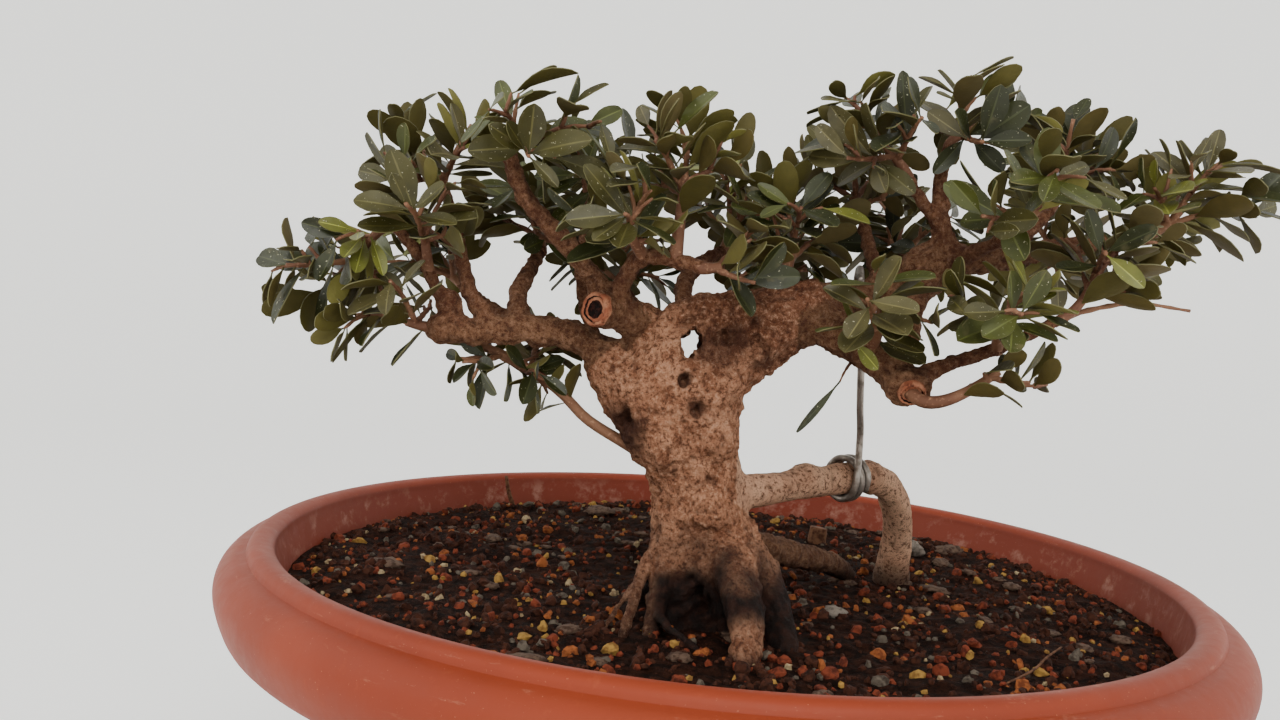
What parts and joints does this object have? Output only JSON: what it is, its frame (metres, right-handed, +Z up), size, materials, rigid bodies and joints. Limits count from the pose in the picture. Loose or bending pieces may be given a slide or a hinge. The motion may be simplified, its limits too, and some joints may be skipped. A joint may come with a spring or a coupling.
{
  "type": "potted olive bonsai",
  "caption": "Dwarf olive bonsai with a stout corky trunk, spreading boughs and small dark leaves, in a round terracotta-coloured bowl pot.",
  "frame": {"origin": "centre of the pot's flat underside", "axes": "+Z up through the middle of the round pot, -Y towards the front of the tree, +X to its right"},
  "size_m": [0.36, 0.36, 0.3334],
  "materials": {
    "terracotta_plastic": "satin moulded plastic, dusty and lime-scuffed at the lip",
    "potting_mix": "damp dark soil with coloured grit",
    "bark": "corky, warty pinkish tan bark",
    "moist_bark": "damp dark bark",
    "foliage": "leathery small leaves, dark green above and olive below",
    "training_wire": "dull grey wire"
  },
  "bodies": {
    "root": {"pot": "terracotta_plastic", "soil": "potting_mix", "trunk": "bark", "low_arch_run": "bark", "low_arch_foot": "bark", "side_root": "moist_bark", "left_bough": "bark", "cut_stub": "bark", "left_riser": "bark", "centre_riser": "bark", "left_bough_front_twig": "bark", "left_bough_upper_twig": "bark", "left_bough_inner_branch": "bark", "left_back_limb": "bark", "shoulder_riser": "bark", "crotch_riser": "bark", "back_left_bough": "bark", "back_right_bough": "bark", "right_high_bough": "bark", "right_low_bough": "bark", "right_upright": "bark", "right_crest_limb": "bark", "right_top_limb": "bark", "right_far_limb": "bark", "right_back_limb": "bark", "right_low_limb": "bark", "right_front_limb": "bark", "back_far_limb": "bark", "back_top_limb": "bark", "guy_wire": "training_wire", "left_front": "foliage", "far_left": "foliage", "left_mid": "foliage", "left_top": "foliage", "left_crest": "foliage", "left_back": "foliage", "left_back_low": "foliage", "shoulder_top": "foliage", "crotch_top": "foliage", "back_left": "foliage", "back_right": "foliage", "centre_front": "foliage", "centre_front_low": "foliage", "centre_top": "foliage", "right_inner": "foliage", "right_top": "foliage", "right_crest": "foliage", "right_back_top": "foliage", "far_right": "foliage", "right_low_tip": "foliage", "right_low": "foliage", "right_lowest": "foliage", "right_front": "foliage", "right_mid_front": "foliage", "back_far": "foliage", "back_far_right": "foliage", "back_top": "foliage", "trunk_shoot": "foliage"}
  },
  "joints": []
}
